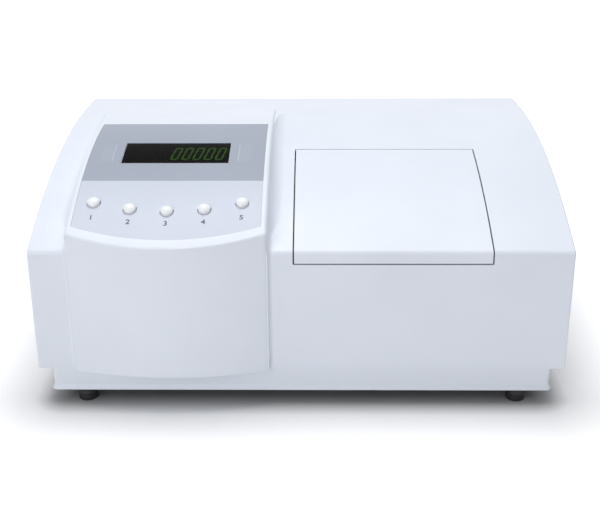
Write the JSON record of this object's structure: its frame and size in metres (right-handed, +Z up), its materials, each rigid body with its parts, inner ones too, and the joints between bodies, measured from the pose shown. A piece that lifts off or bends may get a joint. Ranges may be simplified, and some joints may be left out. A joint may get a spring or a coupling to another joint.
{
  "type": "polarimeter",
  "caption": "Bench polarimeter: white moulded cover with a raised key and display console, a lidded sample chamber, and its optical train on a cast bench inside.",
  "frame": {"origin": "centre of the bounding box at the level of the bench top that the feet rest on", "axes": "+X to the right seen from the front, +Y towards the back, +Z up; the light runs along X"},
  "size_m": [0.6, 0.4284, 0.2787],
  "materials": {
    "cover_white": "satin moulded white with a cool tint",
    "pan_white": "powder-coated white",
    "panel_grey": "powder-coated light grey",
    "foot_rubber": "matt black",
    "screw_steel": "zinc plated",
    "black_plastic": "fine matt black",
    "label_grey": "printed polyester film",
    "label_light": "printed polyester film",
    "window_dark": "dark filter sheet",
    "digit_green": "lit green bars",
    "key_white": "polished white",
    "circuit_green": "solder mask",
    "black_anodised": "matt black against stray light",
    "cast_aluminium": "as cast, machined top",
    "clear_glass": "polished",
    "tinted_glass": "polished",
    "copper_wire": "enamelled wire",
    "bearing_bronze": "sintered",
    "gear_brass": "machined",
    "shaft_steel": "ground",
    "core_steel": "varnished laminations",
    "ceramic_white": "unglazed ceramic"
  },
  "bodies": {
    "housing": {"upper_cover": "cover_white", "base_pan": "pan_white", "rear_panel": "panel_grey", "rubber_feet": "foot_rubber", "lid_seal": "foot_rubber", "housing_screws": "screw_steel", "hinge_brackets": "screw_steel", "hinge_pins": "screw_steel", "panel_studs": "screw_steel", "board_spacers": "screw_steel", "rocker_pins": "screw_steel", "mains_inlet": "black_plastic", "fuse_holder": "black_plastic", "serial_port": "black_plastic", "key_switches": "black_plastic", "switch_bodies": "black_plastic", "display_board": "black_plastic", "display_overlay": "label_grey", "keypad_overlay": "label_light", "display_window": "window_dark", "display_digits": "digit_green", "keypad_board": "circuit_green", "main_board": "circuit_green", "chamber_tray": "black_anodised", "tube_trough": "black_anodised", "condenser_mount": "black_anodised", "filter_mount": "black_anodised", "detector_housing": "black_anodised", "lamp_housing": "black_anodised", "modulator_bobbin": "black_anodised", "optical_bench": "cast_aluminium", "analyzer_bearings": "cast_aluminium", "worm_bracket": "cast_aluminium", "chamber_windows": "clear_glass", "condenser_lens": "clear_glass", "objective_lens": "clear_glass", "modulator_core": "clear_glass", "sodium_lamp": "clear_glass", "polarizer": "tinted_glass", "colour_filter": "tinted_glass", "modulator_coil": "copper_wire", "bearing_bushes": "bearing_bronze", "servo_motor": "shaft_steel", "detector_tube": "shaft_steel", "power_transformer": "core_steel", "lamp_ballast": "core_steel", "lamp_socket": "ceramic_white"},
    "chamber_lid": {"chamber_lid": "cover_white", "lid_hinge_arms": "screw_steel"},
    "power_rocker": {"power_rocker": "black_plastic"},
    "lamp_rocker": {"lamp_rocker": "black_plastic"},
    "analyzer": {"analyzer_drum": "cast_aluminium", "analyzer_disc": "tinted_glass", "worm_wheel": "gear_brass"},
    "worm_shaft": {"worm_shaft": "shaft_steel"},
    "key_1": {"key_1": "key_white"},
    "key_2": {"key_2": "key_white"},
    "key_3": {"key_3": "key_white"},
    "key_4": {"key_4": "key_white"},
    "key_5": {"key_5": "key_white"}
  },
  "joints": [
    {"name": "lid_hinge", "type": "hinge", "parent": "housing", "child": "chamber_lid", "pos_m": [0.1015, 0.01181, 0.24755], "axis": [-1, 0, 0], "range_deg": [0, 95]},
    {"name": "key_1_press", "type": "slide", "parent": "housing", "child": "key_1", "axis": [0, 0.424, -0.9056], "range_m": [0, 0.0015], "stiffness_N_per_m": 400, "springref_m": -0.001},
    {"name": "key_2_press", "type": "slide", "parent": "housing", "child": "key_2", "axis": [0, 0.424, -0.9056], "range_m": [0, 0.0015], "stiffness_N_per_m": 400, "springref_m": -0.001},
    {"name": "key_3_press", "type": "slide", "parent": "housing", "child": "key_3", "axis": [0, 0.424, -0.9056], "range_m": [0, 0.0015], "stiffness_N_per_m": 400, "springref_m": -0.001},
    {"name": "key_4_press", "type": "slide", "parent": "housing", "child": "key_4", "axis": [0, 0.424, -0.9056], "range_m": [0, 0.0015], "stiffness_N_per_m": 400, "springref_m": -0.001},
    {"name": "key_5_press", "type": "slide", "parent": "housing", "child": "key_5", "axis": [0, 0.424, -0.9056], "range_m": [0, 0.0015], "stiffness_N_per_m": 400, "springref_m": -0.001},
    {"name": "power_rocker_tilt", "type": "hinge", "parent": "housing", "child": "power_rocker", "pos_m": [0.2904, 0.05225, 0.118], "axis": [0, -1, 0], "range_deg": [0, 16]},
    {"name": "lamp_rocker_tilt", "type": "hinge", "parent": "housing", "child": "lamp_rocker", "pos_m": [0.2904, 0.09025, 0.118], "axis": [0, -1, 0], "range_deg": [0, 16]},
    {"name": "worm_spin", "type": "hinge", "parent": "housing", "child": "worm_shaft", "pos_m": [-0.097, -0.09575, 0.113], "axis": [0, 1, 0], "range_deg": [-1800, 1800]},
    {"name": "analyzer_turn", "type": "hinge", "parent": "housing", "child": "analyzer", "pos_m": [-0.097, -0.09575, 0.15], "axis": [1, 0, 0], "range_deg": [-45, 45]}
  ],
  "couplings": [
    {"joint": "analyzer_turn", "follows": "worm_spin", "ratio": -0.025}
  ]
}
